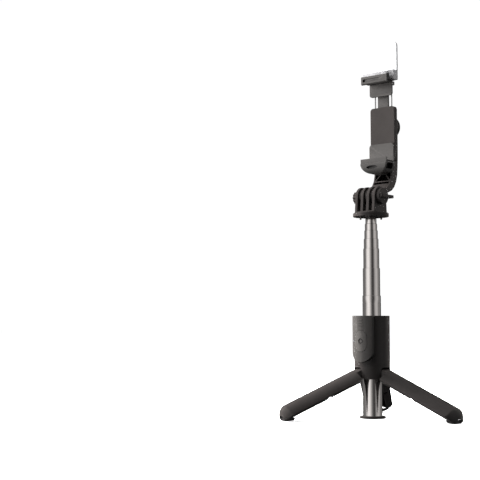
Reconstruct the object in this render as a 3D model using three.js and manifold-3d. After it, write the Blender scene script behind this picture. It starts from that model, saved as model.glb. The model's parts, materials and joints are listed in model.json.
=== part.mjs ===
// Tripod selfie stick: folding legs, telescopic pole, tilting phone clamp, fill light and a
// removable remote. Millimetres, +Z up. The origin is on the pole axis at the bottom of the end
// cap. The front (where the remote sits and the phone's screen faces) is -Y, and +X is on the
// right as seen from the front. An angle phi is measured from the front towards +X.
import * as THREE from 'three';
import { mergeVertices } from 'three/addons/utils/BufferGeometryUtils.js';
import Module from 'manifold-3d';

const wasm = await Module();
wasm.setup();

// ---- driving dimensions -------------------------------------------------------------------
const ROUND = 32; // facets of the pole and of the large round parts
const SMALL_ROUND = 10; // facets of pins, screws and rods
const GAP = 0.3; // clearance between pieces that touch on the real object

const POLE_RADII = [9.45, 8.85, 8.3, 7.7, 7.1, 6.5, 5.95, 5.4];
const POLE_TOPS = [95.5, 117.3, 143.8, 162.9, 172.4, 180.5, 186.9, 193.4];
const POLE_WALL = 0.3;
const POLE_LENGTH = 91.5; // each sliding section
const BUSH_HEIGHT = 4;
const BUSH_PLAY = 0.04;

const END_CAP_RADIUS = 12.7;
const END_CAP_THICK = 2;

const BODY_RADIUS = 17;
const BODY_WALL = 2;
const BODY_TOP = 97.8;
const BODY_BOTTOM = 51.1;
const BORE_RADIUS = POLE_RADII[0] + GAP;
const COLLAR_TOP = 93.3;

const HUB_BOTTOM = 37.6;
const HUB_TOP = 51; // a hairline seam below the shell
const POCKET_TOP = 48.6;
const POCKET_HALF = 7.6;

const LEG_PHIS = [-30, 90, 210];
const LEG_PIVOT_RADIUS = 12.6;
const LEG_PIVOT_Z = 44.2;
const LEG_OPEN = 66; // degrees from straight down
const LEG_LENGTH = 92.3; // from the pivot to the tip
const LEG_HALF_ANGLE = 59; // each leg is a third of the body's cylinder, less a gap
const LEG_INNER_RADIUS = 9.75;
const LEG_WALL = 1.8;
const LEG_SHOULDER = 7.2; // where the full width starts, below the pivot
const LEG_TAB_HALF = 7.2;
const PIN_RADIUS = 0.9;
const PIN_PLAY = 0.2;
const PIN_HALF = 9.6;
const FOOT_HEEL = 81.5; // nearest point of the rubber foot to the pole axis, legs open
const FOOT_TOE = 93;

const REMOTE_RADIUS = 20;
const REMOTE_HALF = 11.2;
const REMOTE_BACK = 11.6; // distance of its flat back from the pole axis
const REMOTE_BOTTOM = 53.8;
const REMOTE_STRAIGHT = 62.8; // where the straight sides end
const BUTTON_Z = 73.8;
const BUTTON_HALF = 7;
const BUTTON_HALF_HEIGHT = 10.4;

const CAP_RADIUS = 17.3;
const CAP_BOTTOM = 193.8;
const CAP_TOP = 197.4;
const KNUCKLE_Z = 213.2;
const PLATE_THICK = 3.2;
const PLATE_GAP = 3.4;
const PLATE_TOP_RADIUS = 9.8;
const PLATE_HALF_DEPTH = 11;
const FINGER_THICK = 3;
const FINGER_RADIUS = 8;
const BOLT_RADIUS = 2.4;

const ARM_HALF = 10.2;
const PIVOT_Z = 286; // axis that the clamp turns on
const ARM_TOP_RADIUS = 11.5;
const ARM_TOP_FRONT = 27.4;
const ARM_TOP_BACK = 33.5;

const HOUSING_HALF = 14;
const HOUSING_FRONT = 21.5;
const HOUSING_BACK = 27;
const HOUSING_BOTTOM = 250;
const HOUSING_TOP = 305;
const HOUSING_SPLIT = 24.4;
const ROD_X = 9.6;
const ROD_BOTTOM = 274.8;
const SPRING_TOP = 302;

const JAW_HALF = 15;
const LOWER_PAD_TOP = 250;
const UPPER_PAD_BOTTOM = 328.3;
const JAW_BACK = 21.2;
const JAW_FRONT = 4.2; // outermost point of the lower tray
const UPPER_FRONT = 7;
const ROD_Y = 24.35;

const LIGHT_HALF = 18;
const LIGHT_FRONT = 14.8;
const LIGHT_BACK = 22.8;
const LIGHT_BOTTOM = 330.4;
const LIGHT_LENS_BOTTOM = 340;
const LIGHT_TOP = 369.5;
const LIGHT_SPLIT = 21; // the lens reaches back to here
const LIGHT_ROOM_FRONT = 18.3; // front of the battery room in the foot

// ---- materials ------------------------------------------------------------------------------
const finish = (color, roughness, metalness) =>
  new THREE.MeshStandardMaterial({ color, roughness, metalness });
const BODY_PLASTIC = finish(0x3b3734, 0.45, 0);
const REMOTE_PLASTIC = finish(0x4a4745, 0.4, 0);
const CHROME = finish(0xb8b0ab, 0.15, 1);
const STEEL = finish(0x8f8f8f, 0.3, 1);
const RUBBER = finish(0x151414, 0.9, 0);
const JAW_PLASTIC = finish(0x7d7976, 0.4, 0);
const LIGHT_PLASTIC = finish(0xb4b3b5, 0.35, 0);
const DIFFUSER = finish(0xffffff, 0.3, 0);
const BOARD = finish(0x1d5a34, 0.6, 0);
const CELL = finish(0xb9bcc0, 0.3, 1);
const BUSHING = finish(0xe6e3dc, 0.6, 0);

// ---- solids -----------------------------------------------------------------------------------
const radians = THREE.MathUtils.degToRad;

function solid(geometry) {
  const plain = geometry.index ? geometry : geometry.clone();
  plain.deleteAttribute('normal');
  plain.deleteAttribute('uv');
  const welded = mergeVertices(plain, 1e-4);
  return new wasm.Manifold(new wasm.Mesh({
    numProp: 3,
    vertProperties: new Float32Array(welded.attributes.position.array),
    triVerts: new Uint32Array(welded.index.array),
  }));
}

const moved = (geometry, matrix) => solid(geometry.applyMatrix4(matrix));

// These turn an extrusion's own X, Y, Z so that it runs along another axis.
const ALONG_Z = new THREE.Matrix4();
const ALONG_X = new THREE.Matrix4().set(0, 0, 1, 0, 1, 0, 0, 0, 0, 1, 0, 0, 0, 0, 0, 1);
const ALONG_Y = new THREE.Matrix4().set(1, 0, 0, 0, 0, 0, -1, 0, 0, 1, 0, 0, 0, 0, 0, 1);

function box(x0, x1, y0, y1, z0, z1) {
  const geometry = new THREE.BoxGeometry(x1 - x0, y1 - y0, z1 - z0);
  return solid(geometry.translate((x0 + x1) / 2, (y0 + y1) / 2, (z0 + z1) / 2));
}

// A flat shape pushed from one level to another. curves is the number of facets on its arcs.
function prism(shape, from, to, axes = ALONG_Z, curves = 8) {
  const flat = new THREE.ExtrudeGeometry(shape, {
    depth: to - from,
    bevelEnabled: false,
    curveSegments: curves,
  });
  return moved(flat.translate(0, 0, from), axes);
}

// (y, z) shapes run along X; (x, z) shapes run along Y, from y0 to y1.
const prismX = (shape, x0, x1, curves) => prism(shape, x0, x1, ALONG_X, curves);
const prismY = (shape, y0, y1, curves) => prism(shape, -y1, -y0, ALONG_Y, curves);

function polygon(points) {
  return new THREE.Shape(points.map(([a, b]) => new THREE.Vector2(a, b)));
}

// A closed (radius, height) profile turned about Z. LatheGeometry itself turns about Y.
function turned(points, facets = ROUND, direction = ALONG_Z) {
  const profile = points.map(([r, along]) => new THREE.Vector2(r, along));
  const geometry = new THREE.LatheGeometry(profile, facets).rotateX(Math.PI / 2);
  return moved(geometry, direction);
}

function disc(radius, z0, z1, facets = ROUND) {
  return turned([[0, z0], [radius, z0], [radius, z1], [0, z1]], facets);
}

function ring(inner, outer, z0, z1, facets = ROUND) {
  return turned([[inner, z0], [outer, z0], [outer, z1], [inner, z1], [inner, z0]], facets);
}

const TO_X = new THREE.Matrix4().makeRotationY(Math.PI / 2);
const TO_Y = new THREE.Matrix4().makeRotationX(-Math.PI / 2);

function turnedAlong(points, direction, place, facets) {
  return turned(points, facets, direction).translate(place);
}

function rodAlongX(radius, x0, x1, y, z, facets = SMALL_ROUND) {
  return turnedAlong([[0, x0], [radius, x0], [radius, x1], [0, x1]], TO_X, [0, y, z], facets);
}

function rodAlongY(radius, y0, y1, x, z, facets = SMALL_ROUND) {
  return turnedAlong([[0, y0], [radius, y0], [radius, y1], [0, y1]], TO_Y, [x, 0, z], facets);
}

function rodAlongZ(radius, z0, z1, x, y, facets = SMALL_ROUND) {
  return disc(radius, z0, z1, facets).translate([x, y, 0]);
}

function roundedRectangle(x0, x1, z0, z1, radius) {
  const shape = new THREE.Shape();
  shape.moveTo(x0 + radius, z0);
  shape.lineTo(x1 - radius, z0);
  shape.absarc(x1 - radius, z0 + radius, radius, -Math.PI / 2, 0);
  shape.lineTo(x1, z1 - radius);
  shape.absarc(x1 - radius, z1 - radius, radius, 0, Math.PI / 2);
  shape.lineTo(x0 + radius, z1);
  shape.absarc(x0 + radius, z1 - radius, radius, Math.PI / 2, Math.PI);
  shape.lineTo(x0, z0 + radius);
  shape.absarc(x0 + radius, z0 + radius, radius, Math.PI, Math.PI * 1.5);
  return shape;
}

const group = new THREE.Group();
group.name = 'selfie_stick';

function add(name, body, material) {
  const { vertProperties, triVerts } = body.getMesh();
  const geometry = new THREE.BufferGeometry();
  geometry.setAttribute('position', new THREE.BufferAttribute(vertProperties, 3));
  geometry.setIndex(new THREE.BufferAttribute(triVerts, 1));
  geometry.computeVertexNormals();
  const mesh = new THREE.Mesh(geometry, material);
  mesh.name = name;
  group.add(mesh);
  return mesh;
}

// ---- telescopic pole ----------------------------------------------------------------------------
function buildPole() {
  POLE_RADII.forEach((radius, index) => {
    const number = index + 1;
    const top = POLE_TOPS[index];
    const bottom = index === 0 ? END_CAP_THICK + GAP : top - POLE_LENGTH;
    const inner = radius - POLE_WALL;
    add(`pole_section_${number}`, ring(inner, radius, bottom, top), CHROME);
    if (index > 0) {
      // A thin bush on the lower end fills the play to the section around it.
      const bore = POLE_RADII[index - 1] - POLE_WALL;
      const bush = ring(radius + BUSH_PLAY, bore - BUSH_PLAY, bottom, bottom + BUSH_HEIGHT);
      add(`pole_bush_${number}`, bush, BUSHING);
    }
  });
}

// ---- end cap, hub and body shell ------------------------------------------------------------------
function buildEndCap() {
  const plugRadius = POLE_RADII[0] - POLE_WALL - BUSH_PLAY;
  const plugHeight = 3.2;
  const chamfer = 0.4;
  const cap = turned([
    [0, 0],
    [END_CAP_RADIUS - chamfer, 0],
    [END_CAP_RADIUS, chamfer],
    [END_CAP_RADIUS, END_CAP_THICK - chamfer],
    [END_CAP_RADIUS - chamfer, END_CAP_THICK],
    [plugRadius, END_CAP_THICK],
    [plugRadius, plugHeight],
    [0, plugHeight],
  ]);
  add('end_cap', cap, BODY_PLASTIC);
}

// Turns a body that is built in front of the pole axis to its place around it.
function atPhi(body, phi) {
  return body.rotate([0, 0, phi]);
}

function buildHub() {
  let hub = ring(BORE_RADIUS, BODY_RADIUS, HUB_BOTTOM, HUB_TOP);
  const cornerRadius = 3;
  const pocketShape = new THREE.Shape();
  pocketShape.moveTo(-POCKET_HALF - cornerRadius, HUB_BOTTOM - 1);
  pocketShape.lineTo(-POCKET_HALF - cornerRadius, HUB_BOTTOM);
  pocketShape.absarc(
    -POCKET_HALF - cornerRadius, HUB_BOTTOM + cornerRadius, cornerRadius, -Math.PI / 2, 0);
  pocketShape.lineTo(-POCKET_HALF, POCKET_TOP - cornerRadius);
  pocketShape.absarc(
    -POCKET_HALF + cornerRadius, POCKET_TOP - cornerRadius, cornerRadius, Math.PI, Math.PI / 2, true);
  pocketShape.lineTo(POCKET_HALF - cornerRadius, POCKET_TOP);
  pocketShape.absarc(
    POCKET_HALF - cornerRadius, POCKET_TOP - cornerRadius, cornerRadius, Math.PI / 2, 0, true);
  pocketShape.lineTo(POCKET_HALF, HUB_BOTTOM + cornerRadius);
  pocketShape.absarc(
    POCKET_HALF + cornerRadius, HUB_BOTTOM + cornerRadius, cornerRadius, Math.PI, Math.PI * 1.5);
  pocketShape.lineTo(POCKET_HALF + cornerRadius, HUB_BOTTOM - 1);
  const pocket = prismY(pocketShape, -BODY_RADIUS - 1, -5, 5);
  const pinHole = rodAlongX(
    PIN_RADIUS + PIN_PLAY, -PIN_HALF - GAP, PIN_HALF + GAP, -LEG_PIVOT_RADIUS, LEG_PIVOT_Z);
  const pin = rodAlongX(PIN_RADIUS, -PIN_HALF, PIN_HALF, -LEG_PIVOT_RADIUS, LEG_PIVOT_Z);
  LEG_PHIS.forEach((phi, index) => {
    hub = hub.subtract(atPhi(pocket, phi)).subtract(atPhi(pinHole, phi));
    add(`leg_pin_${index + 1}`, atPhi(pin, phi), STEEL);
  });
  add('tripod_hub', hub, BODY_PLASTIC);
}

// The remote's outline from the front, grown by a margin: straight sides and a round bottom.
function remoteOutline(margin, top) {
  const half = REMOTE_HALF + margin;
  const depth = REMOTE_STRAIGHT - REMOTE_BOTTOM + margin;
  const shape = new THREE.Shape();
  shape.moveTo(half, top);
  shape.lineTo(-half, top);
  shape.lineTo(-half, REMOTE_STRAIGHT);
  shape.absellipse(0, REMOTE_STRAIGHT, half, depth, Math.PI, Math.PI * 2, false, 0);
  return shape;
}

function buildBodyShell() {
  const dockWall = 1.1;
  const dockPlateFront = REMOTE_BACK - GAP;
  let shell = disc(BODY_RADIUS, BODY_BOTTOM, BODY_TOP);
  shell = shell.subtract(
    disc(BODY_RADIUS - BODY_WALL, BODY_BOTTOM + BODY_WALL, BODY_TOP + 1));
  const dock = prismY(
    remoteOutline(GAP + dockWall, COLLAR_TOP), -BODY_RADIUS, -dockPlateFront + dockWall, 10);
  shell = shell.add(dock.intersect(disc(BODY_RADIUS - 0.1, BODY_BOTTOM, BODY_TOP)));
  shell = shell.subtract(prismY(remoteOutline(GAP, BODY_TOP + 1), -30, -dockPlateFront, 10));
  shell = shell.subtract(disc(BORE_RADIUS, BODY_BOTTOM - 1, BODY_TOP + 1));
  add('body_shell', shell, BODY_PLASTIC);

  // The collar closes the shell around the pole, a little below the rim.
  const collarThick = 2;
  const collarOuter = BODY_RADIUS - BODY_WALL - GAP;
  let collar = ring(BORE_RADIUS, collarOuter, COLLAR_TOP - collarThick, COLLAR_TOP);
  collar = collar.subtract(prismY(
    remoteOutline(2 * GAP + dockWall, BODY_TOP), -30, -dockPlateFront + dockWall + GAP, 10));
  add('body_collar', collar, BODY_PLASTIC);
}

// ---- legs -----------------------------------------------------------------------------------------
// A leg is shaped straight down in front of the pole axis, then swung out on its pivot.
function legSolid() {
  const tipZ = LEG_PIVOT_Z - LEG_LENGTH;
  const shoulderZ = LEG_PIVOT_Z - LEG_SHOULDER;
  const half = radians(LEG_HALF_ANGLE);
  const sector = new THREE.Shape();
  const front = -Math.PI / 2;
  sector.absarc(0, 0, BODY_RADIUS, front - half, front + half);
  sector.absarc(0, 0, LEG_INNER_RADIUS, front + half, front - half, true);
  const full = prism(sector, tipZ, shoulderZ, ALONG_Z, 12);

  // The tip is the lower half of an ellipsoid that meets the leg's full section.
  const tipHeight = 11;
  const centreY = -4.4;
  const ball = new THREE.SphereGeometry(1, 40, 20)
    .rotateX(Math.PI / 2)
    .scale(15.6, BODY_RADIUS + centreY + 0.4, tipHeight)
    .translate(0, centreY, tipZ + tipHeight);
  const straight = box(
    -BODY_RADIUS, BODY_RADIUS, -BODY_RADIUS - 1, 0, tipZ + tipHeight, shoulderZ);
  return full.intersect(straight.add(solid(ball)));
}

function legTab() {
  const eye = 3.2;
  const inner = LEG_PIVOT_RADIUS - LEG_INNER_RADIUS;
  const tab = new THREE.Shape();
  const y = -LEG_PIVOT_RADIUS;
  const below = LEG_SHOULDER + 4;
  tab.moveTo(y + inner, LEG_PIVOT_Z - below);
  tab.lineTo(y + inner, LEG_PIVOT_Z + Math.sqrt(eye * eye - inner * inner));
  tab.absarc(y, LEG_PIVOT_Z, eye, Math.acos(inner / eye), Math.PI);
  tab.lineTo(y - eye, LEG_PIVOT_Z - below);
  const face = roundedRectangle(
    -LEG_TAB_HALF, LEG_TAB_HALF, LEG_PIVOT_Z - below, LEG_PIVOT_Z + eye, 2.5);
  return prismX(tab, -LEG_TAB_HALF, LEG_TAB_HALF, 6)
    .intersect(prismY(face, -BODY_RADIUS, 0, 4))
    .intersect(disc(BODY_RADIUS, 0, BODY_TOP));
}

function legGroove() {
  const depth = 0.6;
  const halfWidth = 1.1;
  const start = 27; // from the pivot
  const end = 79;
  const from = LEG_PIVOT_Z - start;
  const to = LEG_PIVOT_Z - end;
  return prismY(
    roundedRectangle(-halfWidth, halfWidth, to, from, halfWidth - 0.01), -30,
    -BODY_RADIUS + depth, 3);
}

function legCavity() {
  const half = radians(LEG_HALF_ANGLE);
  const wallAngle = LEG_WALL / ((BODY_RADIUS + LEG_INNER_RADIUS) / 2);
  const front = -Math.PI / 2;
  const sector = new THREE.Shape();
  sector.absarc(0, 0, BODY_RADIUS - LEG_WALL, front - half + wallAngle, front + half - wallAngle);
  sector.lineTo(0, -2);
  const tipZ = LEG_PIVOT_Z - LEG_LENGTH;
  const endWall = 7;
  const topWall = 9.5;
  return prism(sector, tipZ + endWall, LEG_PIVOT_Z - topWall, ALONG_Z, 8);
}

function buildLegs() {
  const outer = legSolid().add(legTab());
  const eye = rodAlongX(
    PIN_RADIUS + PIN_PLAY, -LEG_TAB_HALF - 1, LEG_TAB_HALF + 1, -LEG_PIVOT_RADIUS, LEG_PIVOT_Z);
  // Folded, the legs close around the end cap, which sits in this notch.
  const notch = disc(END_CAP_RADIUS + 2 * GAP, -2 * GAP, END_CAP_THICK + 6 * GAP);
  const folded = outer
    .subtract(legCavity())
    .subtract(legGroove())
    .subtract(notch)
    .subtract(eye);

  const swing = (body) => body
    .translate([0, LEG_PIVOT_RADIUS, -LEG_PIVOT_Z])
    .rotate([-LEG_OPEN, 0, 0])
    .translate([0, -LEG_PIVOT_RADIUS, LEG_PIVOT_Z]);
  const padThick = 2.8;
  const reach = 120; // beyond the open legs
  const sole = box(-reach, reach, -reach, -reach / 2, 0, padThick);
  const above = box(-reach, reach, -reach, BODY_RADIUS, padThick + GAP, BODY_TOP);
  const openLeg = swing(folded).intersect(above);
  // A rubber sole under the flat of the foot, with a step at its inner end. It stays inside the
  // leg's own third, so that the folded feet clear each other.
  const side = reach * Math.tan(radians(LEG_HALF_ANGLE));
  const third = polygon([[0, 0], [-side, -reach], [side, -reach]]);
  const wedge = swing(prism(third, LEG_PIVOT_Z - reach, LEG_PIVOT_Z));
  const stepHalf = 5.2;
  const stepLength = 5.5;
  const soleHalf = 8.4;
  const soleCorner = 4;
  const heel = box(-stepHalf, stepHalf, -FOOT_HEEL - stepLength, -FOOT_HEEL, 0, padThick);
  const plate = roundedRectangle(-soleHalf, soleHalf, -FOOT_TOE, -FOOT_HEEL, soleCorner);
  const step = heel.add(prism(plate, 0, padThick, ALONG_Z, 4));
  const pad = swing(outer).intersect(sole).add(step).intersect(wedge);
  LEG_PHIS.forEach((phi, index) => {
    add(`leg_${index + 1}`, atPhi(openLeg, phi), BODY_PLASTIC);
    add(`foot_pad_${index + 1}`, atPhi(pad, phi), RUBBER);
  });
}

// ---- remote ---------------------------------------------------------------------------------------
function stadium(halfWidth, halfHeight, z) {
  const shape = new THREE.Shape();
  const straight = halfHeight - halfWidth;
  shape.absarc(0, z + straight, halfWidth, 0, Math.PI);
  shape.absarc(0, z - straight, halfWidth, Math.PI, Math.PI * 2);
  return shape;
}

function buildRemote() {
  const wall = 1.4;
  const backThick = 0.9;
  const front = disc(REMOTE_RADIUS, REMOTE_BOTTOM - 1, BODY_TOP + 1, 72);
  const inside = disc(REMOTE_RADIUS - wall, REMOTE_BOTTOM - 1, BODY_TOP + 1, 72);
  const blank = prismY(remoteOutline(0, BODY_TOP), -REMOTE_RADIUS - 1, -REMOTE_BACK, 12)
    .intersect(front);
  const hollow = prismY(
    remoteOutline(-wall, BODY_TOP - wall), -REMOTE_RADIUS - 1, -REMOTE_BACK + 1, 12)
    .intersect(inside);
  const opening = prismY(
    stadium(BUTTON_HALF, BUTTON_HALF_HEIGHT, BUTTON_Z), -REMOTE_RADIUS - 1, -REMOTE_BACK - 3, 8);
  const ledX = -8.6;
  const ledHole = rodAlongY(0.9, -REMOTE_RADIUS - 1, -REMOTE_BACK - 3, ledX, BUTTON_Z, 8);
  let shell = blank.subtract(hollow).subtract(opening).subtract(ledHole);
  // Three short grip ridges above the button.
  const ridgeHeight = 0.3;
  const ridgeHalf = 0.3;
  for (const [z, halfWidth] of [[94, 2.1], [91.4, 2.5], [88.8, 2.9]]) {
    shell = shell.add(box(
      -halfWidth, halfWidth, -REMOTE_RADIUS - ridgeHeight, -REMOTE_RADIUS + wall / 2,
      z - ridgeHalf, z + ridgeHalf));
  }
  add('remote_shell', shell, REMOTE_PLASTIC);

  const back = prismY(
    remoteOutline(-wall - GAP, BODY_TOP - wall - GAP), -REMOTE_BACK - backThick, -REMOTE_BACK, 8);
  add('remote_back', back, REMOTE_PLASTIC);

  const led = rodAlongY(0.6, -REMOTE_RADIUS + 1.9, -REMOTE_RADIUS + 3.6, ledX, BUTTON_Z, 8);
  add('remote_led', led, DIFFUSER);

  const capPlay = 0.25;
  const capShape = stadium(BUTTON_HALF - capPlay, BUTTON_HALF_HEIGHT - capPlay, BUTTON_Z);
  const capDepth = 2.4;
  const stemEnd = -16.4;
  const stem = rodAlongY(1.6, -REMOTE_RADIUS + capDepth - 0.1, stemEnd, 0, BUTTON_Z);
  const cap = prismY(capShape, -REMOTE_RADIUS - 1, -REMOTE_RADIUS + capDepth, 8)
    .intersect(disc(REMOTE_RADIUS + 0.1, REMOTE_BOTTOM, BODY_TOP, 72))
    .subtract(rodAlongY(2.5, -REMOTE_RADIUS - 1, -REMOTE_RADIUS + 0.15, 0, BUTTON_Z, 24))
    .add(stem);
  add('remote_button', cap, REMOTE_PLASTIC);

  // Behind the button: the board with its dome switch, then the coin cell.
  const boardHalf = 5.8;
  const boardFront = -15.6;
  const boardBack = -14.9;
  const domeRadius = 2.5;
  const board = box(-boardHalf, boardHalf, boardFront, boardBack, REMOTE_STRAIGHT, 90)
    .add(rodAlongY(domeRadius, boardFront - GAP, boardFront + 0.1, 0, BUTTON_Z));
  add('remote_board', board, BOARD);
  const cellRadius = 8;
  add('coin_cell', rodAlongY(
    cellRadius, boardBack + GAP, -REMOTE_BACK - backThick - GAP, 0, BUTTON_Z, 24), CELL);
}

// ---- head: cap, knuckle and screw -------------------------------------------------------------------
function buildTopCap() {
  const rimWidth = 1.3;
  const recess = 1;
  const chamfer = 0.5;
  let cap = turned([
    [0, CAP_BOTTOM],
    [POLE_RADII[7], CAP_BOTTOM],
    [POLE_RADII[7] + 0.5, CAP_BOTTOM + recess],
    [CAP_RADIUS - rimWidth, CAP_BOTTOM + recess],
    [CAP_RADIUS - rimWidth, CAP_BOTTOM],
    [CAP_RADIUS, CAP_BOTTOM],
    [CAP_RADIUS, CAP_TOP - chamfer],
    [CAP_RADIUS - chamfer, CAP_TOP],
    [0, CAP_TOP],
  ]);
  // Three snap hooks hold the cap on the body when the pole is pushed in.
  const hookRadius = 11.5;
  const hookProfile = polygon([
    [-hookRadius - 0.3, CAP_BOTTOM + recess + 0.5],
    [-hookRadius - 0.3, CAP_BOTTOM - 1.9],
    [-hookRadius - 0.7, CAP_BOTTOM - 2.5],
    [-hookRadius - 0.3, CAP_BOTTOM - 3.3],
    [-hookRadius + 0.6, CAP_BOTTOM - 3.3],
    [-hookRadius + 0.7, CAP_BOTTOM + recess + 0.5],
  ]);
  const hook = prismX(hookProfile, -0.9, 0.9);
  for (const phi of [-26, 94, 214]) {
    cap = cap.add(atPhi(hook, phi));
  }
  add('top_cap', cap, BODY_PLASTIC);

  const plugRadius = POLE_RADII[7] - POLE_WALL - BUSH_PLAY;
  add('top_plug', disc(plugRadius, CAP_BOTTOM - 8, CAP_BOTTOM - GAP), BUSHING);
}

function buildKnuckle() {
  const floor = CAP_TOP + GAP;
  const floorThick = 1.2;
  const halfWidth = 2 * PLATE_THICK + 1.5 * PLATE_GAP;
  const side = new THREE.Shape();
  side.moveTo(-PLATE_HALF_DEPTH, floor);
  side.lineTo(PLATE_HALF_DEPTH, floor);
  side.lineTo(PLATE_TOP_RADIUS, KNUCKLE_Z);
  side.absarc(0, KNUCKLE_Z, PLATE_TOP_RADIUS, 0, Math.PI);
  const block = prismX(side, -halfWidth, halfWidth, 12);
  let base = block;
  for (const x of [-1, 0, 1]) {
    const centre = x * (PLATE_THICK + PLATE_GAP);
    base = base.subtract(box(
      centre - PLATE_GAP / 2, centre + PLATE_GAP / 2, -20, 20, floor + floorThick, 240));
  }
  base = base.subtract(rodAlongX(BOLT_RADIUS + GAP, -20, 20, 0, KNUCKLE_Z));
  add('knuckle_base', base, BODY_PLASTIC);

  // Round nut with a ribbed rim on the left.
  const nutInner = -halfWidth - GAP;
  const nutOuter = nutInner - 5.5;
  const nutRadius = 6.4;
  const ribs = 12;
  const ribDepth = 1;
  const outline = new THREE.Shape();
  for (let i = 0; i < ribs * 2; i += 1) {
    const angle = (i * Math.PI) / ribs;
    const r = i % 2 ? nutRadius - ribDepth : nutRadius;
    const step = i === 0 ? 'moveTo' : 'lineTo';
    outline[step](r * Math.cos(angle), KNUCKLE_Z + r * Math.sin(angle));
  }
  const nut = prismX(outline, nutOuter, nutInner)
    .subtract(rodAlongX(BOLT_RADIUS + GAP, nutOuter + 1.2, 0, 0, KNUCKLE_Z));
  add('knuckle_nut', nut, BODY_PLASTIC);

  // Thumb screw on the right: a round head with a lever bar across it, and the bolt.
  const headInner = halfWidth + GAP;
  const headOuter = headInner + 3.4;
  const leverOuter = headOuter + 3.2;
  const lever = roundedRectangle(headInner, leverOuter, -7, 13.2, 1.4);
  const bar = prism(lever, KNUCKLE_Z - 1.4, KNUCKLE_Z + 1.4, ALONG_Z, 4);
  const screw = rodAlongX(8, headInner, headOuter, 0, KNUCKLE_Z, 32)
    .add(bar)
    .add(rodAlongX(BOLT_RADIUS, nutOuter + 1.5, headInner + 1, 0, KNUCKLE_Z));
  add('thumb_screw', screw, BODY_PLASTIC);
}

// ---- arm ------------------------------------------------------------------------------------------
function armBackLine(inset) {
  return [
    [15.6 - inset, 218.4],
    [22 - inset, 221],
    [26.6 - inset, 225],
    [30 - inset, 230.6],
    [32 - inset, 237.4],
    [32.8 - inset, 245],
    [33.3 - inset, 254],
    [ARM_TOP_BACK - inset, 264],
  ];
}

function buildArm() {
  const top = PIVOT_Z + ARM_TOP_RADIUS;
  const side = polygon([
    [10.8, 221.8],
    ...armBackLine(0),
    [ARM_TOP_BACK, top],
    [ARM_TOP_FRONT, top],
    [ARM_TOP_FRONT, 248.5],
    [25.6, 246.4],
    [21.7, 245.4],
    [22.2, 237],
    [20.6, 231],
    [17.8, 226.6],
    [14.5, 223.8],
  ]);
  const outline = new THREE.Shape();
  outline.moveTo(-ARM_HALF, 210);
  outline.lineTo(ARM_HALF, 210);
  outline.lineTo(ARM_HALF, PIVOT_Z - 6.1);
  outline.absarc(0, PIVOT_Z, ARM_TOP_RADIUS, -0.56, Math.PI + 0.56);
  outline.lineTo(-ARM_HALF, PIVOT_Z - 6.1);
  let arm = prismX(side, -ARM_TOP_RADIUS, ARM_TOP_RADIUS)
    .intersect(prismY(outline, 0, 50, 16));

  // Open front with thin crossed ribs, as moulded.
  const wall = 1.45;
  const pocketSide = polygon([
    [12, 225.4],
    ...armBackLine(2.1).slice(3),
    [ARM_TOP_BACK - 2.1, 268],
    [10, 268],
  ]);
  let pocket = prismX(pocketSide, -ARM_HALF + wall, ARM_HALF - wall);
  const ribs = [
    [-9, 230.5, 9, 230.5],
    [-9, 230.5, 0, 241],
    [9, 230.5, 0, 241],
    [-9, 252, 9, 252],
    [-9, 241, 9, 252],
    [-9, 252, 9, 241],
    [-9, 268, 9, 252],
    [9, 268, -9, 252],
    [-4, 226, -8, 222],
  ];
  const ribHalf = 0.5;
  for (const [x0, z0, x1, z1] of ribs) {
    const length = Math.hypot(x1 - x0, z1 - z0);
    const rib = box(0, length, 0, 50, -ribHalf, ribHalf)
      .rotate([0, (-Math.atan2(z1 - z0, x1 - x0) * 180) / Math.PI, 0])
      .translate([x0, 0, z0]);
    pocket = pocket.subtract(rib);
  }
  arm = arm.subtract(pocket);

  // Three fingers reach down between the plates of the knuckle.
  const finger = new THREE.Shape();
  finger.moveTo(FINGER_RADIUS * Math.cos(2.1), KNUCKLE_Z + FINGER_RADIUS * Math.sin(2.1));
  finger.absarc(0, KNUCKLE_Z, FINGER_RADIUS, 2.1, 2 * Math.PI - 0.62);
  finger.lineTo(14.2, 218.7);
  finger.lineTo(17, 222);
  finger.lineTo(15, 224.2);
  finger.lineTo(10.8, 222);
  finger.lineTo(0, KNUCKLE_Z + FINGER_RADIUS);
  for (const x of [-1, 0, 1]) {
    const centre = x * (PLATE_THICK + PLATE_GAP);
    arm = arm.add(prismX(finger, centre - FINGER_THICK / 2, centre + FINGER_THICK / 2, 12));
  }
  arm = arm
    .subtract(rodAlongX(BOLT_RADIUS + GAP, -20, 20, 0, KNUCKLE_Z))
    .subtract(rodAlongY(5.4, 20, 50, 0, PIVOT_Z, 24));
  add('arm', arm, BODY_PLASTIC);
}

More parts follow.
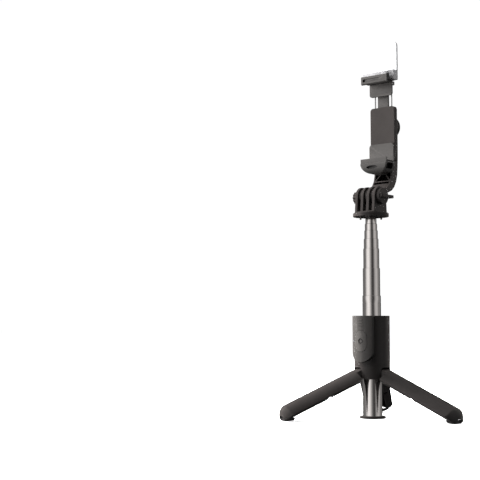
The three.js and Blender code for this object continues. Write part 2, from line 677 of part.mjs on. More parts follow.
// ---- phone clamp ----------------------------------------------------------------------------------
function buildHousing() {
  let housing = prismY(
    roundedRectangle(-HOUSING_HALF, HOUSING_HALF, HOUSING_BOTTOM, HOUSING_TOP, 3),
    HOUSING_FRONT, HOUSING_BACK, 4);
  const pocketFront = 22.8;
  const pocketBack = 25.9;
  // A slot for the sliding tongue, open at the top, and two spring wells beside it.
  housing = housing.subtract(box(-6.4, 6.4, pocketFront, pocketBack, 262, 320));
  for (const x of [-ROD_X, ROD_X]) {
    housing = housing
      .subtract(box(x - 1.7, x + 1.7, pocketFront, pocketBack, 253, SPRING_TOP))
      .subtract(rodAlongZ(1.1, 250.5, 320, x, ROD_Y, 12));
  }
  const seam = 0.1;
  const boss = rodAlongY(5, HOUSING_BACK - 1, ARM_TOP_BACK - 0.2, 0, PIVOT_Z, 24);
  const screwHole = rodAlongY(1.4, 28, 50, 0, PIVOT_Z, 12);
  const front = housing.intersect(box(-20, 20, 0, HOUSING_SPLIT - seam, 240, 320));
  const back = housing
    .intersect(box(-20, 20, HOUSING_SPLIT + seam, 40, 240, 320))
    .add(boss)
    .subtract(screwHole);
  add('clamp_front_shell', front, BODY_PLASTIC);
  add('clamp_back_shell', back, BODY_PLASTIC);
}

// The clamp turns on a boss through the arm, held by a wave washer, a screw and a round cover.
function buildPivot() {
  const washer = rodAlongY(9, 33.8, 34.3, 0, PIVOT_Z, 24)
    .subtract(rodAlongY(5.7, 30, 40, 0, PIVOT_Z, 24));
  add('pivot_washer', washer, STEEL);
  const screw = rodAlongY(1.1, 28.4, 35, 0, PIVOT_Z, 12)
    .add(rodAlongY(3, 34.6, 36, 0, PIVOT_Z, 16));
  add('pivot_screw', screw, STEEL);
  const cover = turnedAlong([
    [0, 36.4],
    [4, 36.4],
    [4, 34.6],
    [11, 34.6],
    [11.4, 35],
    [11.4, 36.6],
    [10.2, 37.8],
    [0, 37.8],
  ], TO_Y, [0, 0, PIVOT_Z], ROUND);
  add('pivot_cover', cover, BODY_PLASTIC);
}

function buildLowerJaw() {
  // Seen from the front the tray is a bowl; seen from the side it rises to a front lip.
  const bottom = 237.2;
  const floor = LOWER_PAD_TOP - 1.2;
  const face = new THREE.Shape();
  face.moveTo(-JAW_HALF, 252);
  face.lineTo(-JAW_HALF, 247.5);
  face.bezierCurveTo(-JAW_HALF + 0.5, 241, -9, bottom, -4, bottom);
  face.lineTo(4, bottom);
  face.bezierCurveTo(9, bottom, JAW_HALF - 0.5, 241, JAW_HALF, 247.5);
  face.lineTo(JAW_HALF, 252);
  const side = new THREE.Shape();
  side.moveTo(JAW_BACK, bottom);
  side.lineTo(JAW_BACK, 252);
  side.lineTo(JAW_FRONT + 0.8, 252);
  side.lineTo(JAW_FRONT + 0.8, 247.6);
  side.lineTo(JAW_FRONT, 247.2);
  side.bezierCurveTo(JAW_FRONT - 0.2, 242, JAW_FRONT + 2.4, bottom, 11, bottom);
  let jaw = prismY(face, 0, 25, 8).intersect(prismX(side, -JAW_HALF, JAW_HALF, 8));
  jaw = jaw.subtract(box(-20, 20, JAW_FRONT + 2.6, 40, floor - GAP, 260));
  // Back wall that stands in front of the housing, with rounded top corners.
  const wallTop = 268;
  const wall = prismY(
    roundedRectangle(-HOUSING_HALF, HOUSING_HALF, 244, wallTop, 3), 19.2, JAW_BACK, 4);
  jaw = jaw.add(wall);
  const grip = new THREE.Shape();
  grip.absellipse(-1.5, 243.4, 6.4, 1.7, 0, Math.PI * 2, false, 0);
  jaw = jaw.subtract(prismY(grip, 0, JAW_FRONT + 2.6, 8));
  const sideHollow = roundedRectangle(7, 18, 241.4, 247, 2);
  for (const [x0, x1] of [[-20, -9.5], [9.5, 20]]) {
    jaw = jaw.subtract(prismX(sideHollow, x0, x1, 4));
  }
  add('lower_jaw', jaw, JAW_PLASTIC);
  const pad = prism(
    roundedRectangle(-JAW_HALF + 1, JAW_HALF - 1, JAW_FRONT + 2.9, JAW_BACK - 2.3, 1), floor,
    LOWER_PAD_TOP, ALONG_Z, 3);
  add('lower_pad', pad, RUBBER);
}

function buildUpperJaw() {
  const barBottom = UPPER_PAD_BOTTOM + 1.4;
  const barTop = UPPER_PAD_BOTTOM + 5.7;
  const lipBottom = UPPER_PAD_BOTTOM - 1.3;
  const lipRound = 1.2;
  const lipThick = 2.4;
  const shelfTop = LIGHT_BOTTOM - GAP;
  const lip = new THREE.Shape();
  lip.moveTo(JAW_BACK, barBottom);
  lip.lineTo(UPPER_FRONT + lipThick, barBottom);
  lip.lineTo(UPPER_FRONT + lipThick, lipBottom);
  lip.lineTo(UPPER_FRONT + lipRound, lipBottom);
  lip.absarc(
    UPPER_FRONT + lipRound, lipBottom + lipRound, lipRound, -Math.PI / 2, -Math.PI, true);
  lip.lineTo(UPPER_FRONT, barTop);
  lip.absarc(UPPER_FRONT + lipRound, barTop, lipRound, Math.PI, Math.PI / 2, true);
  lip.lineTo(UPPER_FRONT + 5, barTop + lipRound);
  lip.lineTo(UPPER_FRONT + 5, shelfTop);
  lip.lineTo(JAW_BACK, shelfTop);
  let jaw = prismX(lip, -JAW_HALF, JAW_HALF, 4);
  // Long shallow recess along the lip, deeper at its left end.
  const recess = roundedRectangle(-13, 6, UPPER_PAD_BOTTOM + 1.1, UPPER_PAD_BOTTOM + 4.1, 1.2);
  jaw = jaw.subtract(prismY(recess, 0, UPPER_FRONT + 0.7, 3));
  jaw = jaw.subtract(
    box(-12.6, -10.8, 0, UPPER_FRONT + 1.8, UPPER_PAD_BOTTOM + 1.4, UPPER_PAD_BOTTOM + 3.8));
  // Upper back wall, the bridge over the housing and the tongue that slides in it.
  const wallBottom = UPPER_PAD_BOTTOM - 12.5;
  const bridgeBottom = UPPER_PAD_BOTTOM - 1.7;
  const bridgeHalf = 11.6;
  const tongueBottom = UPPER_PAD_BOTTOM - 45.8;
  jaw = jaw.add(prismY(
    roundedRectangle(-13, 13, wallBottom, barBottom + 0.3, 2.5), 19.2, JAW_BACK, 4));
  jaw = jaw.add(box(-bridgeHalf, bridgeHalf, JAW_BACK - 1, 26.6, bridgeBottom, shelfTop));
  jaw = jaw.add(prismY(
    roundedRectangle(-6, 6, tongueBottom, bridgeBottom + 2, 1), 23.1, 25.6, 3));
  const rodTop = bridgeBottom + 2.2;
  for (const x of [-ROD_X, ROD_X]) {
    jaw = jaw.subtract(rodAlongZ(1, 300, rodTop + GAP, x, ROD_Y, 12));
  }
  add('upper_jaw', jaw, JAW_PLASTIC);
  const padShape = roundedRectangle(
    -JAW_HALF + 1, JAW_HALF - 1, UPPER_FRONT + lipThick + GAP, JAW_BACK - 2.3, 1);
  add('upper_pad', prism(padShape, UPPER_PAD_BOTTOM, barBottom - GAP, ALONG_Z, 3), RUBBER);

  [-ROD_X, ROD_X].forEach((x, index) => {
    const rod = rodAlongZ(0.7, ROD_BOTTOM, rodTop, x, ROD_Y, 12)
      .add(rodAlongZ(1.35, ROD_BOTTOM, ROD_BOTTOM + 1.2, x, ROD_Y, 12));
    add(`guide_rod_${index + 1}`, rod, STEEL);
    add(`jaw_spring_${index + 1}`, spring(x), STEEL);
  });
}

// A helical spring on a guide rod, from the rod's foot to the top of its well.
function spring(x) {
  const wire = 0.22;
  const coilRadius = 1.1;
  const turns = 8;
  const stepsPerTurn = 6;
  const from = ROD_BOTTOM + 1.2 + GAP + wire;
  const to = SPRING_TOP - GAP - wire;
  class Helix extends THREE.Curve {
    getPoint(t, target = new THREE.Vector3()) {
      const angle = t * turns * Math.PI * 2;
      return target.set(
        x + coilRadius * Math.cos(angle), ROD_Y + coilRadius * Math.sin(angle),
        from + (to - from) * t);
    }
  }
  const section = new THREE.Shape();
  for (let i = 0; i < 4; i += 1) {
    const angle = (i * Math.PI) / 2;
    const step = i === 0 ? 'moveTo' : 'lineTo';
    section[step](wire * Math.cos(angle), wire * Math.sin(angle));
  }
  return solid(new THREE.ExtrudeGeometry(section, {
    steps: turns * stepsPerTurn,
    extrudePath: new Helix(),
    bevelEnabled: false,
  }));
}

// ---- fill light -----------------------------------------------------------------------------------
function buildLight() {
  const wall = 1.3;
  const cornerRadius = 5;
  const lightShape = (margin, bottom) => {
    const shape = roundedRectangle(
      -LIGHT_HALF - margin, LIGHT_HALF + margin, LIGHT_BOTTOM - 10, LIGHT_TOP + margin,
      cornerRadius + margin);
    return prismY(shape, 0, 40, 6).intersect(box(-40, 40, 0, 40, bottom, 400));
  };
  const whole = lightShape(0, LIGHT_BOTTOM);
  const slab = (y0, y1, z0) => box(-40, 40, y0, y1, z0, 400);
  const inner = lightShape(-wall, LIGHT_BOTTOM + wall);
  // The shell is a back tray with a grey foot across its front; the lens closes the rest.
  const room = LIGHT_BACK - wall;
  const roomHalf = 13;
  let shell = whole
    .intersect(slab(LIGHT_FRONT, LIGHT_BACK, 300))
    .subtract(slab(0, LIGHT_SPLIT, LIGHT_LENS_BOTTOM - GAP))
    .subtract(inner.intersect(slab(LIGHT_SPLIT - 1, room, LIGHT_LENS_BOTTOM)))
    .subtract(box(
      -roomHalf, roomHalf, LIGHT_ROOM_FRONT, room, LIGHT_BOTTOM + wall, LIGHT_LENS_BOTTOM + 1));
  const buttonX = 8.4;
  const buttonZ = LIGHT_BOTTOM + 4.9;
  const buttonRadius = 4.1;
  shell = shell.subtract(rodAlongY(
    buttonRadius + GAP, LIGHT_FRONT - 1, LIGHT_FRONT + 2.2, buttonX, buttonZ, 28));
  add('light_shell', shell, LIGHT_PLASTIC);

  const lens = whole.intersect(slab(LIGHT_FRONT, LIGHT_SPLIT - GAP, LIGHT_LENS_BOTTOM))
    .subtract(inner.intersect(slab(LIGHT_FRONT + wall, 40, LIGHT_LENS_BOTTOM + wall)));
  add('light_lens', lens, DIFFUSER);

  const boardHalf = LIGHT_HALF - 3;
  const boardThick = 0.8;
  const boardBack = LIGHT_SPLIT - 1.4;
  add('light_board', box(
    -boardHalf, boardHalf, boardBack - boardThick, boardBack, LIGHT_LENS_BOTTOM + wall + GAP,
    LIGHT_TOP - 4), BOARD);
  add('light_battery', box(
    -roomHalf + 1, roomHalf - 1, LIGHT_ROOM_FRONT + GAP, room - GAP, LIGHT_BOTTOM + wall + GAP,
    LIGHT_LENS_BOTTOM - 2 * GAP), CELL);

  const button = rodAlongY(buttonRadius, LIGHT_FRONT - 2.2, LIGHT_FRONT + 0.9, buttonX, buttonZ, 28)
    .intersect(turnedAlong([
      [0, LIGHT_FRONT - 2.2],
      [buttonRadius - 0.8, LIGHT_FRONT - 2.2],
      [buttonRadius, LIGHT_FRONT - 1.4],
      [buttonRadius, LIGHT_FRONT + 1],
      [0, LIGHT_FRONT + 1],
    ], TO_Y, [buttonX, 0, buttonZ], 28));
  add('light_button', button, LIGHT_PLASTIC);
}

buildPole();
buildEndCap();
buildHub();
buildBodyShell();
buildLegs();
buildRemote();
buildTopCap();
buildKnuckle();
buildArm();
buildHousing();
buildPivot();
buildLowerJaw();
buildUpperJaw();
buildLight();

export default group;
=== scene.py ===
"""Looks of the tripod selfie stick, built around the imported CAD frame. Metres, +Z up."""
import json
import math

import bmesh
import bpy
from mathutils import Matrix, Vector


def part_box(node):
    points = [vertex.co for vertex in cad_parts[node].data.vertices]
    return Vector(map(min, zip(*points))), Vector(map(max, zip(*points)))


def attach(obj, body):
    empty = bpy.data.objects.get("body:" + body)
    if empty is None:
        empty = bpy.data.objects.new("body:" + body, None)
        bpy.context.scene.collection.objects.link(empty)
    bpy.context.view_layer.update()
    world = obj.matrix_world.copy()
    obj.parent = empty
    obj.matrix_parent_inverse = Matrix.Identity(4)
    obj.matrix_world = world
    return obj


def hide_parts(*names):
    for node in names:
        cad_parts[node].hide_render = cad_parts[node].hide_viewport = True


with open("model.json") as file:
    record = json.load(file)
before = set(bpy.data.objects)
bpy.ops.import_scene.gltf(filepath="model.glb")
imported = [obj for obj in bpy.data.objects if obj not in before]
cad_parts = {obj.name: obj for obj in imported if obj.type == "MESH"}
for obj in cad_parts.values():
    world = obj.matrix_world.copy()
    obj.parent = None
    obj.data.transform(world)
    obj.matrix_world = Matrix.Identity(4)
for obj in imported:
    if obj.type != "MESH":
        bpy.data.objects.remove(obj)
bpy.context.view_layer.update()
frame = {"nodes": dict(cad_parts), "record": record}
NODES = frame["nodes"]
MM = 0.001

# ---- camera ---------------------------------------------------------------------------------
LENS_MM = 81.5
SENSOR_MM = 36.0
CAMERA_AZIMUTH = math.radians(34)  # where the camera stands round the pole, from the front
CAMERA_DISTANCE = 1.06
CAMERA_HEIGHT = 0.089
CAMERA_TURN = math.radians(6.9)  # the object stands to the right of the frame's middle
CAMERA_PITCH = math.radians(4.47)


def make_camera():
    data = bpy.data.cameras.new("camera")
    data.lens = LENS_MM
    data.sensor_width = SENSOR_MM
    camera = bpy.data.objects.new("camera", data)
    bpy.context.scene.collection.objects.link(camera)
    camera.location = (
        CAMERA_DISTANCE * math.sin(CAMERA_AZIMUTH),
        -CAMERA_DISTANCE * math.cos(CAMERA_AZIMUTH),
        CAMERA_HEIGHT,
    )
    camera.rotation_euler = (
        math.pi / 2 + CAMERA_PITCH,
        0,
        CAMERA_AZIMUTH + CAMERA_TURN,
    )
    bpy.context.scene.camera = camera


# ---- node helpers ---------------------------------------------------------------------------
class Material:
    """A Principled material whose nodes are added one by one."""

    def __init__(self, name):
        self.data = bpy.data.materials.new(name)
        self.data.use_nodes = True
        self.nodes = self.data.node_tree.nodes
        self.links = self.data.node_tree.links
        self.shader = next(n for n in self.nodes if n.type == "BSDF_PRINCIPLED")
        self.place = self.nodes.new("ShaderNodeTexCoord").outputs["Object"]

    def set(self, **values):
        for name, value in values.items():
            self.shader.inputs[name.replace("_", " ")].default_value = value

    def noise(self, scale, detail=4.0, roughness=0.6, stretch=(1, 1, 1)):
        mapping = self.nodes.new("ShaderNodeMapping")
        mapping.inputs["Scale"].default_value = stretch
        self.links.new(self.place, mapping.inputs["Vector"])
        node = self.nodes.new("ShaderNodeTexNoise")
        node.inputs["Scale"].default_value = scale
        node.inputs["Detail"].default_value = detail
        node.inputs["Roughness"].default_value = roughness
        self.links.new(mapping.outputs["Vector"], node.inputs["Vector"])
        return node.outputs["Fac"]

    def ramp(self, source, low, high, start=0.3, end=0.7):
        """Maps source from start..end to two colours or two grey levels."""
        node = self.nodes.new("ShaderNodeValToRGB")
        for element, position, value in zip(
            node.color_ramp.elements, (start, end), (low, high)
        ):
            element.position = position
            colour = value if isinstance(value, tuple) else (value, value, value)
            element.color = (*colour, 1)
        self.links.new(source, node.inputs["Fac"])
        return node.outputs["Color"]

    def bump(self, source, strength, distance, normal=None):
        node = self.nodes.new("ShaderNodeBump")
        node.inputs["Strength"].default_value = strength
        node.inputs["Distance"].default_value = distance
        self.links.new(source, node.inputs["Height"])
        if normal is not None:
            self.links.new(normal, node.inputs["Normal"])
        return node.outputs["Normal"]

    def painted_edge_highlight(self, colour, highlight_colour, low=0.52, high=0.62):
        """Mixes in a lighter colour where the surface turns sharply outwards: a painted highlight
        along the edges, broken up by noise.
        """
        geometry = self.nodes.new("ShaderNodeNewGeometry")
        mask = self.ramp(geometry.outputs["Pointiness"], 0.0, 1.0, low, high)
        broken = self.ramp(self.noise(900, 3), 0.2, 1.0, 0.35, 0.65)
        amount = self.nodes.new("ShaderNodeMath")
        amount.operation = "MULTIPLY"
        self.links.new(mask, amount.inputs[0])
        self.links.new(broken, amount.inputs[1])
        mix = self.nodes.new("ShaderNodeMix")
        mix.data_type = "RGBA"
        self.links.new(amount.outputs[0], mix.inputs["Factor"])
        self.links.new(colour, mix.inputs["A"])
        mix.inputs["B"].default_value = (*highlight_colour, 1)
        return mix.outputs["Result"]

    def join(self, source, socket):
        self.links.new(source, self.shader.inputs[socket])


def scaled(colour, factor):
    return tuple(min(1.0, channel * factor) for channel in colour)


def moulded_plastic(name, colour, roughness, grain=0.05, coat=0.0, shine=0.5):
    """Injection-moulded plastic: fine spark texture, slight mottling, and a painted highlight on
    the sharp edges.
    """
    material = Material(name)
    mottled = material.ramp(
        material.noise(45, 5), scaled(colour, 0.86), scaled(colour, 1.14))
    # The lighter colour on the sharp outward edges is a painted highlight.
    material.join(
        material.painted_edge_highlight(mottled, scaled(colour, 1.7)), "Base Color")
    material.join(
        material.ramp(material.noise(160, 5), roughness - 0.05, roughness + 0.07),
        "Roughness")
    spark = material.noise(5200, 2, 0.5)
    material.join(material.bump(spark, grain, 0.0001), "Normal")
    material.set(Coat_Weight=coat, Coat_Roughness=0.25, IOR=1.5, Specular_IOR_Level=shine)
    return material.data


def polished_tube(name, colour):
    """Polished metal tube: fine lengthwise draw lines and faint smears."""
    material = Material(name)
    lines = material.noise(1500, 3, 0.6, stretch=(1, 1, 0.02))
    material.join(
        material.ramp(lines, scaled(colour, 0.93), scaled(colour, 1.05)), "Base Color")
    material.join(
        material.ramp(material.noise(38, 5), 0.11, 0.21), "Roughness")
    material.join(material.bump(lines, 0.03, 0.0001), "Normal")
    material.set(Metallic=1.0)
    return material.data


def plain_metal(name, colour, roughness):
    material = Material(name)
    scratch = material.noise(900, 4, 0.6, stretch=(1, 6, 1))
    material.join(
        material.ramp(scratch, scaled(colour, 0.85), scaled(colour, 1.1)), "Base Color")
    material.join(
        material.ramp(material.noise(200, 4), roughness - 0.06, roughness + 0.08),
        "Roughness")
    material.join(material.bump(scratch, 0.08, 0.0001), "Normal")
    material.set(Metallic=1.0)
    return material.data


def rubber(name, colour):
    material = Material(name)
    material.join(
        material.ramp(material.noise(120, 6), scaled(colour, 0.7), scaled(colour, 1.8)),
        "Base Color")
    material.join(material.ramp(material.noise(300, 4), 0.72, 0.9), "Roughness")
    material.join(material.bump(material.noise(3800, 3), 0.2, 0.0001), "Normal")
    return material.data


def lit_diffuser(name, colour, strength):
    """Milky lens with the lamps glowing through it."""
    material = Material(name)
    glow = material.ramp(material.noise(60, 2), scaled(colour, 0.97), colour)
    material.join(glow, "Base Color")
    material.join(glow, "Emission Color")
    material.join(material.ramp(material.noise(400, 3), 0.22, 0.3), "Roughness")
    material.set(Emission_Strength=strength, IOR=1.49)
    return material.data


MATERIALS = {
    "body_plastic": moulded_plastic(
        "charcoal_plastic", (0.024, 0.021, 0.020), 0.42, shine=0.26),
    "remote_plastic": moulded_plastic(
        "remote_plastic", (0.042, 0.039, 0.037), 0.4, shine=0.35),
    "jaw_plastic": moulded_plastic(
        "jaw_plastic", (0.04, 0.0375, 0.036), 0.36, shine=0.4),
    "light_plastic": moulded_plastic("light_plastic", (0.2, 0.197, 0.201), 0.33),
    "chrome": polished_tube("chrome_tube", (0.62, 0.585, 0.565)),
    "steel": plain_metal("steel", (0.5, 0.5, 0.5), 0.3),
    "cell": plain_metal("nickel", (0.6, 0.6, 0.6), 0.28),
    "rubber": rubber("black_rubber", (0.013, 0.012, 0.012)),
    "board": moulded_plastic("solder_mask", (0.02, 0.12, 0.05), 0.4, coat=0.3),
    "bushing": moulded_plastic("white_acetal", (0.72, 0.7, 0.66), 0.4),
    "diffuser": lit_diffuser("lit_lens", (0.97, 0.985, 1.0), 0.9),
}
NODE_MATERIALS = {  # single nodes that look different from the rest of their slot
    "remote_led": lit_diffuser("dim_led", (0.35, 0.36, 0.38), 0.1),
}


# ---- CAD nodes --------------------------------------------------------------------------------
SOFT_EDGE = {  # bevel widths in millimetres where the usual one doesn't suit
    "light_shell": 0.7, "light_lens": 0.9, "lower_jaw": 0.8, "upper_jaw": 0.5,
    "remote_button": 0.45, "remote_shell": 0.4, "top_cap": 0.5, "knuckle_base": 0.5,
    "arm": 0.4, "thumb_screw": 0.5, "knuckle_nut": 0.25, "light_button": 0.5,
    "lower_pad": 0.25, "upper_pad": 0.25, "clamp_front_shell": 0.7, "clamp_back_shell": 0.7,
}
USUAL_EDGE = 0.3
EDGE_ANGLE = math.radians(28)  # edges sharper than this are rounded
EDGE_SEGMENTS = 3
FLAT_ANGLE = math.radians(0.6)  # faces flatter than this to each other are joined
WELD_DISTANCE = 1e-6


def finish_node(name, node, slot):
    """Gives a CAD node its material, smooth shading, joined flat faces and rounded edges."""
    mesh = node.data
    imported_normals = mesh.attributes.get("custom_normal")
    if imported_normals is not None:
        mesh.attributes.remove(imported_normals)
    mesh.polygons.foreach_set("use_smooth", [True] * len(mesh.polygons))
    mesh.materials.clear()
    mesh.materials.append(NODE_MATERIALS.get(name, MATERIALS[slot]))
    weld = node.modifiers.new("weld", "WELD")
    weld.merge_threshold = WELD_DISTANCE
    flat = node.modifiers.new("flat_faces", "DECIMATE")
    flat.decimate_type = "DISSOLVE"
    flat.angle_limit = FLAT_ANGLE
    bevel = node.modifiers.new("edges", "BEVEL")
    bevel.width = SOFT_EDGE.get(name, USUAL_EDGE) * MM
    bevel.segments = EDGE_SEGMENTS
    bevel.limit_method = "ANGLE"
    bevel.angle_limit = EDGE_ANGLE
    bevel.use_clamp_overlap = True
    weighted = node.modifiers.new("shading", "WEIGHTED_NORMAL")
    weighted.keep_sharp = True


def finish_nodes():
    slots = {s["node"]: s["material_slot"] for s in frame["record"]["subparts"]}
    for name, node in NODES.items():
        finish_node(name, node, slots[name])


# ---- fine pieces ------------------------------------------------------------------------------
def link_piece(name, work, slot, body):
    """Turns a finished bmesh into a piece that rides on a body, with its slot's material."""
    mesh = bpy.data.meshes.new(name)
    bmesh.ops.recalc_face_normals(work, faces=work.faces)
    work.to_mesh(mesh)
    work.free()
    mesh.polygons.foreach_set("use_smooth", [True] * len(mesh.polygons))
    mesh.materials.append(MATERIALS[slot])
    piece = bpy.data.objects.new(name, mesh)
    bpy.context.scene.collection.objects.link(piece)
    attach(piece, body)
    return piece


def keep_creases(piece, degrees):
    """Keeps creases sharper than the angle crisp under smooth shading."""
    mesh = piece.data
    work = bmesh.new()
    work.from_mesh(mesh)
    limit = math.radians(degrees)
    for edge in work.edges:
        if len(edge.link_faces) == 2 and edge.calc_face_angle() > limit:
            edge.smooth = False
    work.to_mesh(mesh)
    work.free()


def lathe(profile, segments, matrix=None):
    """Turns a closed outline of (radius, z) points in millimetres about Z."""
    work = bmesh.new()
    rings = [
        [
            work.verts.new((
                radius * MM * math.cos(2 * math.pi * k / segments),
                radius * MM * math.sin(2 * math.pi * k / segments),
                z * MM,
            ))
            for k in range(segments)
        ]
        for radius, z in profile[:-1]
    ]
    for low, high in zip(rings, rings[1:] + rings[:1]):
        for k in range(segments):
            n = (k + 1) % segments
            work.faces.new((low[k], low[n], high[n], high[k]))
    if matrix is not None:
        bmesh.ops.transform(work, matrix=matrix, verts=work.verts)
    return work


def arc(centre, radius, start, end, steps):
    """Points on a round corner, from one angle to another in degrees."""
    points = []
    for k in range(steps + 1):
        angle = math.radians(start + (end - start) * k / steps)
        points.append((
            centre[0] + radius * math.cos(angle),
            centre[1] + radius * math.sin(angle),
        ))
    return points


# The tubes, in millimetres.
TUBE_SEGMENTS = 96
TUBE_WALL = 0.3
TUBE_CREASE = 50  # degrees
RIM_ROLL = 0.28  # radius of the rolled rim
RIM_NECK = 0.05  # how far the rim is drawn in
RIM_INNER_ROLL = 0.1
RIM_HEIGHT = 1.5  # where the rim starts, below the tube's top
RIM_NECK_HEIGHT = 1.2
RIM_INNER_HEIGHT = 1.0
RIM_INNER_STEP = 0.02
GROOVED_TUBE = 2
GROOVE_DROP = 6.8  # from the tube's top
GROOVE_HALF = 0.28
GROOVE_FLOOR_HALF = GROOVE_HALF * 0.4
GROOVE_DEPTH = 0.16


def tube_profile(radius, bottom, top, grooved):
    """Closed outline of a tube's wall, from the inside at the bottom round its rim and back."""
    inner = radius - TUBE_WALL
    profile = [(inner, bottom), (radius, bottom)]
    if grooved:
        groove = top - GROOVE_DROP
        profile += [
            (radius, groove - GROOVE_HALF),
            (radius - GROOVE_DEPTH, groove - GROOVE_FLOOR_HALF),
            (radius - GROOVE_DEPTH, groove + GROOVE_FLOOR_HALF),
            (radius, groove + GROOVE_HALF),
        ]
    neck = radius - RIM_NECK
    profile += [(radius, top - RIM_HEIGHT), (neck, top - RIM_NECK_HEIGHT)]
    profile += arc((neck - RIM_ROLL, top - RIM_ROLL), RIM_ROLL, 0, 90, 5)
    inner_centre = (inner + RIM_INNER_STEP, top - RIM_INNER_ROLL)
    profile += arc(inner_centre, RIM_INNER_ROLL, 90, 180, 3)
    profile += [(inner, top - RIM_INNER_HEIGHT), (inner, bottom)]
    return profile


def pole_sections():
    """Finer tubes in place of the eight plain ones; the first slider has a marking groove."""
    for number in range(1, 9):
        node = f"pole_section_{number}"
        low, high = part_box(node)
        radius = (high.x - low.x) / 2 / MM
        profile = tube_profile(radius, low.z / MM, high.z / MM, number == GROOVED_TUBE)
        work = lathe(profile, TUBE_SEGMENTS)
        piece = link_piece(f"tube_{number}", work, "chrome", frame_body(node))
        keep_creases(piece, TUBE_CREASE)
        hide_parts(node)


def frame_body(node):
    for body, members in frame["record"]["behaviour"]["bodies"].items():
        if node in members:
            return body
    raise ValueError(node)


# The button's ring, in millimetres.
RING_INNER = 1.6
RING_OUTER = 2.5
RING_CHAMFER = 0.1
RING_DEPTH = 0.3
RING_SINK = 0.02  # below the button's face
RING_SEGMENTS = 48


def button_ring():
    """A plain ring inlaid at the middle of the remote's button."""
    low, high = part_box("remote_button")
    centre = (low + high) / 2
    front = low.y / MM
    face = front + RING_SINK
    edge = face + RING_CHAMFER
    back = front + RING_DEPTH
    profile = [
        (RING_INNER, edge),
        (RING_INNER + RING_CHAMFER, face),
        (RING_OUTER - RING_CHAMFER, face),
        (RING_OUTER, edge),
        (RING_OUTER, back),
        (RING_INNER, back),
        (RING_INNER, edge),
    ]
    # The profile's heights become depths along Y.
    turn = Matrix.Rotation(-math.pi / 2, 4, "X")
    place = Matrix.Translation((centre.x, 0, centre.z)) @ turn
    link_piece("button_ring", lathe(profile, RING_SEGMENTS, place), "rubber", "remote_button")


# ---- studio -----------------------------------------------------------------------------------
STAGE_AIM = Vector((0, 0, 0.18))  # the point that the lights face
FLOOR_DROP = 0.0004
FLOOR_ALBEDO = 0.9
FLOOR_SPOKES = 48
# The floor's glow is lower near the middle, a painted shadow round the object; far out it is
# evenly white.
FLOOR_GLOW_AND_PAINTED_SHADOW = [(0.16, 0.6), (0.3, 0.72), (0.6, 0.95), (1.0, 1.0), (12.0, 1.02)]  # radius, glow
BACKDROP = 1.02  # white that the camera sees behind everything
AMBIENT = 0.035  # fill light on matt surfaces
TENT_RADIUS = 1.6
TENT_BOTTOM = -1.5
TENT_TOP = 2.2
TENT_PANELS = 120
TENT_LID = 0.5
# Brightness of the tent that the glossy surfaces mirror, by the angle in degrees from the camera
# to the right: a wide soft box on the left, a black flag beside the camera, a paler one beyond.
TENT_LIGHT = [
    (-180, 0.05), (-165, 0.08), (-150, 0.20), (-110, 0.22), (-92, 0.26), (-80, 0.6), (-68, 1.1),
    (-52, 1.35), (-34, 1.3), (-20, 0.75), (-8, 0.34), (4, 0.14), (16, 0.05), (24, 0.05),
    (34, 0.22), (52, 0.62), (74, 0.72), (92, 0.45), (103, 0.20), (116, 0.34), (126, 0.32),
    (138, 0.04), (180, 0.03),
]


def emission_material(name, strength):
    """Gives off white light and mirrors nothing."""
    material = bpy.data.materials.new(name)
    material.use_nodes = True
    shader = material.node_tree.nodes["Principled BSDF"]
    shader.inputs["Base Color"].default_value = (0, 0, 0, 1)
    shader.inputs["Specular IOR Level"].default_value = 0
    shader.inputs["Emission Color"].default_value = (1, 1, 1, 1)
    shader.inputs["Emission Strength"].default_value = strength
    return material


def level_material(name):
    """A material that glows as bright as its mesh's own levels say."""
    material = emission_material(name, 1.0)
    nodes, links = material.node_tree.nodes, material.node_tree.links
    level = nodes.new("ShaderNodeAttribute")
    level.attribute_name = "level"
    links.new(level.outputs["Fac"], nodes["Principled BSDF"].inputs["Emission Strength"])
    return material


def set_levels(mesh, levels):
    values = mesh.attributes.new("level", "FLOAT", "POINT")
    values.data.foreach_set("value", levels)


def stage_object(name, mesh, camera=True, glossy=False):
    """A stage piece, with the kinds of ray that see it."""
    piece = bpy.data.objects.new(name, mesh)
    bpy.context.scene.collection.objects.link(piece)
    piece.visible_camera = camera
    piece.visible_diffuse = False
    piece.visible_glossy = glossy
    piece.visible_transmission = glossy
    piece.visible_shadow = False
    return piece


def tent_level(angle):
    for (a0, v0), (a1, v1) in zip(TENT_LIGHT, TENT_LIGHT[1:]):
        if a0 <= angle <= a1:
            return v0 + (v1 - v0) * (angle - a0) / (a1 - a0)
    raise ValueError(angle)


def make_tent():
    """Upright panels all round and a lid, seen only in reflections."""
    mesh = bpy.data.meshes.new("tent")
    verts, faces, levels = [], [], []
    for k in range(TENT_PANELS + 1):
        angle = -180 + 360 * k / TENT_PANELS
        a = CAMERA_AZIMUTH + math.radians(angle)
        for z in (TENT_BOTTOM, TENT_TOP):
            verts.append((TENT_RADIUS * math.sin(a), -TENT_RADIUS * math.cos(a), z))
            levels.append(tent_level(angle))
    for k in range(TENT_PANELS):
        faces.append((2 * k, 2 * k + 1, 2 * k + 3, 2 * k + 2))
    mesh.from_pydata(verts, [], faces)
    mesh.materials.append(level_material("tent"))
    set_levels(mesh, levels)
    stage_object("tent", mesh, camera=False, glossy=True)
    lid = bpy.data.meshes.new("tent_lid")
    r = TENT_RADIUS * 1.1
    lid.from_pydata([(-r, -r, TENT_TOP), (r, -r, TENT_TOP), (r, r, TENT_TOP), (-r, r, TENT_TOP)],
                    [], [(0, 1, 2, 3)])
    lid.materials.append(emission_material("tent_lid", TENT_LID))
    stage_object("tent_lid", lid, camera=False, glossy=True)


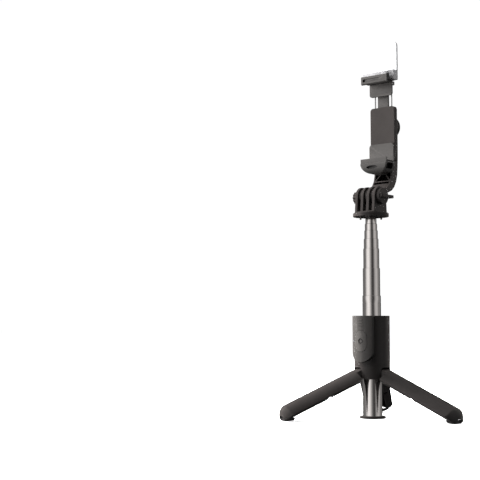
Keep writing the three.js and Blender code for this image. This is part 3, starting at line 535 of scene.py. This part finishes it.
def make_floor():
    """A pale round floor that glows dimmer near the object, a painted shadow round it, and
    whitens away from it.
    """
    mesh = bpy.data.meshes.new("floor")
    verts, faces, levels = [(0, 0, 0)], [], [FLOOR_GLOW_AND_PAINTED_SHADOW[0][1]]
    for radius, glow in FLOOR_GLOW_AND_PAINTED_SHADOW:
        for k in range(FLOOR_SPOKES):
            angle = 2 * math.pi * k / FLOOR_SPOKES
            verts.append((radius * math.cos(angle), radius * math.sin(angle), 0))
            levels.append(glow)
    for k in range(FLOOR_SPOKES):
        n = (k + 1) % FLOOR_SPOKES
        faces.append((0, 1 + k, 1 + n))
        for band in range(len(FLOOR_GLOW_AND_PAINTED_SHADOW) - 1):
            near = 1 + band * FLOOR_SPOKES
            far = near + FLOOR_SPOKES
            faces.append((near + k, far + k, far + n, near + n))
    mesh.from_pydata(verts, [], faces)
    set_levels(mesh, levels)
    material = level_material("floor")
    shader = material.node_tree.nodes["Principled BSDF"]
    shader.inputs["Base Color"].default_value = (FLOOR_ALBEDO, FLOOR_ALBEDO, FLOOR_ALBEDO, 1)
    mesh.materials.append(material)
    floor = stage_object("floor", mesh)
    floor.location.z = -FLOOR_DROP


def area_light(name, angle, elevation, distance, size_x, size_y, power):
    """A soft box that lights only matt surfaces; its angle is from the camera to the right."""
    data = bpy.data.lights.new(name, "AREA")
    data.shape = "RECTANGLE"
    data.size = size_x
    data.size_y = size_y
    data.energy = power
    light = bpy.data.objects.new(name, data)
    bpy.context.scene.collection.objects.link(light)
    a, e = CAMERA_AZIMUTH + math.radians(angle), math.radians(elevation)
    away = Vector((math.sin(a) * math.cos(e), -math.cos(a) * math.cos(e), math.sin(e)))
    light.location = STAGE_AIM + away * distance
    light.rotation_euler = away.to_track_quat("Z", "Y").to_euler()
    light.visible_glossy = False


def make_studio():
    """White backdrop for the camera, a dim fill for matt surfaces, floor, tent and soft boxes."""
    bpy.context.scene.view_settings.view_transform = "Standard"
    world = bpy.data.worlds.new("studio")
    bpy.context.scene.world = world
    world.use_nodes = True
    nodes, links = world.node_tree.nodes, world.node_tree.links
    ray = nodes.new("ShaderNodeLightPath")
    strength = nodes.new("ShaderNodeMapRange")
    strength.inputs["To Min"].default_value = AMBIENT
    strength.inputs["To Max"].default_value = BACKDROP
    links.new(ray.outputs["Is Camera Ray"], strength.inputs["Value"])
    links.new(strength.outputs["Result"], nodes["Background"].inputs["Strength"])
    nodes["Background"].inputs["Color"].default_value = (1.0, 1.0, 1.0, 1)
    make_floor()
    make_tent()
    area_light("key", -62, 38, 1.3, 0.5, 0.9, 15)
    area_light("rim_left", -112, 14, 1.2, 0.3, 1.2, 150)
    area_light("rim_right", 135, 15, 1.2, 0.2, 1.0, 50)
    area_light("top", 0, 78, 1.2, 0.6, 0.6, 6)


make_camera()
finish_nodes()
pole_sections()
button_ring()
make_studio()
